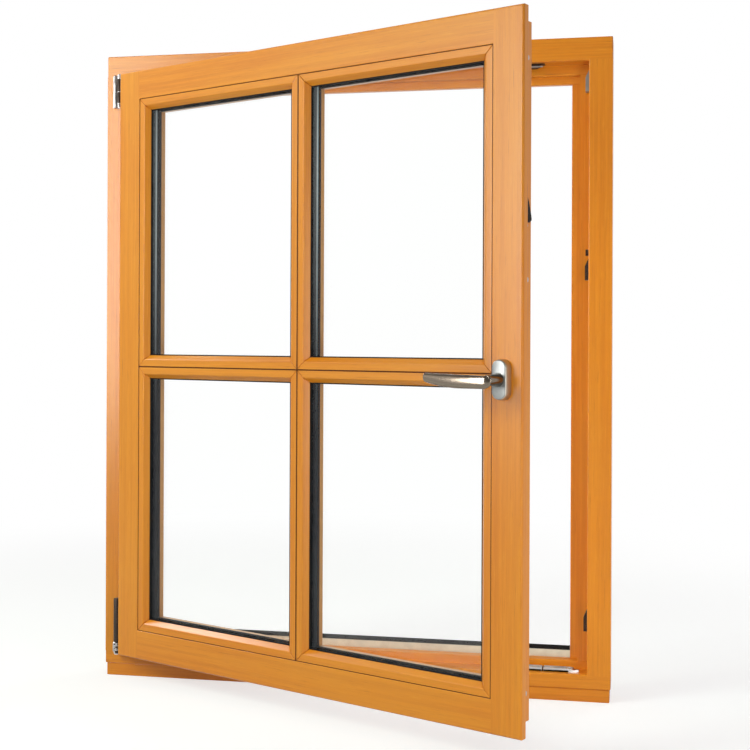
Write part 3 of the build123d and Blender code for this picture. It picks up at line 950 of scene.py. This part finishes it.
# screws and rollers of the lock fittings
fittings = {
    "middle": -0.013, "floor": 0.455, "feet": (0.131, 0.794, 1.150), "rises": (0.007, 0.0185), "screw": 0.0034,
    "headUnder": 1.199, "headScrews": (0.312, 0.345),
    "plateX": 0.447, "plateY": -0.022, "plateScrew": 0.0032,
    "plateScrews": (0.140, 0.250, 0.365, 0.480, 0.560, 0.680, 0.745, 0.830, 0.960, 1.060),
    "strip": (0.341, -0.0218, 1.2003), "stripWidth": 0.062, "stripHeight": 0.0026, "stripCorner": 0.001,
    "stripDepth": 0.0012, "stripEase": 0.0004,
    "wheel": [  # height, radius
        (0, 0.0040), (0.0006, 0.0046), (0.0042, 0.0046), (0.0050, 0.0040), (0.0052, 0.0022), (0.0058, 0.0018),
    ],
    "wheelDrop": 0.0052,
    "lifterFoot": 0.868, "lifterDepth": 0.015, "lifterEase": 0.0005,
    "lifter": [  # out of the faceplate, up
        (0.0, 0.0), (0.0062, 0.0), (0.0094, 0.0032), (0.0098, 0.0056), (0.0086, 0.0140), (0.0052, 0.0320),
        (0.0, 0.0490),
    ],
}


def makeFrameScrews():
    mesh = bmesh.new()
    for foot in fittings["feet"]:
        for rise in fittings["rises"]:
            spot = spotAt((fittings["floor"], fittings["middle"], foot + rise), (-1, 0, 0))
            addScrew(mesh, spot, fittings["screw"])
    for x in fittings["headScrews"]:
        spot = spotAt((x, fittings["middle"], fittings["headUnder"]), (0, 0, -1), (0, 1, 0))
        addScrew(mesh, spot, fittings["screw"])
    putPiece("striker_screws", "frame", "zinc", mesh, turned=False)
    mesh = bmesh.new()
    outline = roundedShape(fittings["stripWidth"], fittings["stripHeight"], fittings["stripCorner"])
    cutPlate(mesh, spotAt(fittings["strip"], toRoom), outline, fittings["stripDepth"], fittings["stripEase"])
    putPiece("head_striker_strip", "frame", "zinc", mesh, turned=False)


def makeSashFittings():
    x, y, foot = fittings["plateX"], fittings["plateY"], fittings["lifterFoot"]
    outwards = (1, 0, 0)
    mesh = bmesh.new()
    for z in fittings["plateScrews"]:
        addScrew(mesh, spotAt((x, y, z), outwards), fittings["plateScrew"])
    putPiece("faceplate_screws", "sash", "zinc", mesh)
    mesh = bmesh.new()
    turnPart(mesh, spotAt((x, y, foot - fittings["wheelDrop"]), outwards), fittings["wheel"])
    putPiece("lifter_wheel", "sash", "zinc", mesh)
    mesh = bmesh.new()
    depth = fittings["lifterDepth"]
    outline = drawnShape(fittings["lifter"])
    cutPlate(mesh, spotAt((x, y + depth / 2, foot), toRoom), outline, depth, fittings["lifterEase"])
    piece = putPiece("lifter_wedge", "sash", "black", mesh)
    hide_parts("sash_lifter")


makeFrameScrews()
makeSashFittings()

# the tilt striker on the sill: a grooved keep and a pointed catch with a round hole
tilt = {
    "front": -0.022, "back": -0.004, "sill": 0.052, "top": 0.059, "floor": 0.0558,
    "rail": 0.0042, "railEase": 0.0008, "railStop": 0.004,
    "keep": (0.290, 0.374), "keepCorner": 0.001, "keepEase": 0.0003, "keepScrews": (0.014, 0.016),
    "catch": (0.377, 0.445), "catchEase": 0.0004, "catchScrew": 0.014,
    "point": 0.016, "pointBlunt": 0.0015, "pointHalf": 0.003,
    "screw": 0.0034,
    "hole": 0.4265, "holeSeat": 0.0004,
    "holeRim": [(0.0, 0.0082), (0.0030, 0.0082), (0.0034, 0.0076), (0.0034, 0.0058), (0.0005, 0.0054)],
    "holeFloor": [(0, 0.0052), (0.0008, 0.0052), (0.0009, 0.0046)],      # height, radius
    "gapLap": 0.001, "gapInset": 0.002, "gapCorner": 0.0008, "gapHeight": 0.0050, "gapEase": 0.0004,
}


def addRails(mesh, x0, x1):
    half = tilt["rail"] / 2
    outline = roundedShape(x1 - x0, tilt["rail"], tilt["railEase"])
    for y in (tilt["front"] + half, tilt["back"] - half):
        spot = spotAt(((x0 + x1) / 2, y, tilt["sill"]), *upwards)
        cutPlate(mesh, spot, outline, tilt["top"] - tilt["sill"], tilt["railEase"])


def makeTiltStriker():
    front, back, sill, floor = (tilt[key] for key in ("front", "back", "sill", "floor"))
    middle, depth, thick = (front + back) / 2, back - front, floor - sill
    mesh = bmesh.new()
    x0, x1 = tilt["keep"]
    cutPlate(mesh, spotAt(((x0 + x1) / 2, middle, sill), *upwards),
             roundedShape(x1 - x0, depth, tilt["keepCorner"]), thick, tilt["keepEase"])
    addRails(mesh, x0, x1)
    for x in (x0 + tilt["keepScrews"][0], x1 - tilt["keepScrews"][1]):
        addScrew(mesh, spotAt((x, middle, floor), *upwards), tilt["screw"])
    x0, x1 = tilt["catch"]
    shoulder, tip, half = x1 - tilt["point"], x1 - tilt["pointBlunt"], tilt["pointHalf"]
    outline = [(x0, front), (shoulder, front), (tip, middle - half),
               (tip, middle + half), (shoulder, back), (x0, back)]
    cutPlate(mesh, spotAt((0, 0, sill), *upwards), drawnShape(outline), thick, tilt["catchEase"])
    addRails(mesh, x0, shoulder - tilt["railStop"])
    turnPart(mesh, spotAt((tilt["hole"], middle, floor - tilt["holeSeat"]), *upwards), tilt["holeRim"])
    addScrew(mesh, spotAt((x0 + tilt["catchScrew"], middle, floor), *upwards), tilt["screw"])
    piece = putPiece("grooved_tilt_striker", "frame", "tiltZinc", mesh, turned=False)
    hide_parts("tilt_striker")
    # painted shade: dark pieces in the gap between keep and catch and at the bottom of the round hole
    mesh = bmesh.new()
    turnPart(mesh, spotAt((tilt["hole"], middle, floor), *upwards), tilt["holeFloor"])
    x0, x1 = tilt["keep"][1], tilt["catch"][0]
    cutPlate(mesh, spotAt(((x0 + x1) / 2, middle, sill), *upwards),
             roundedShape(x1 - x0 + tilt["gapLap"], depth - tilt["gapInset"], tilt["gapCorner"]),
             tilt["gapHeight"], tilt["gapEase"])
    putPiece("tilt_striker_shade_pieces", "frame", "dark", mesh, turned=False)


makeTiltStriker()
print("fittings made")
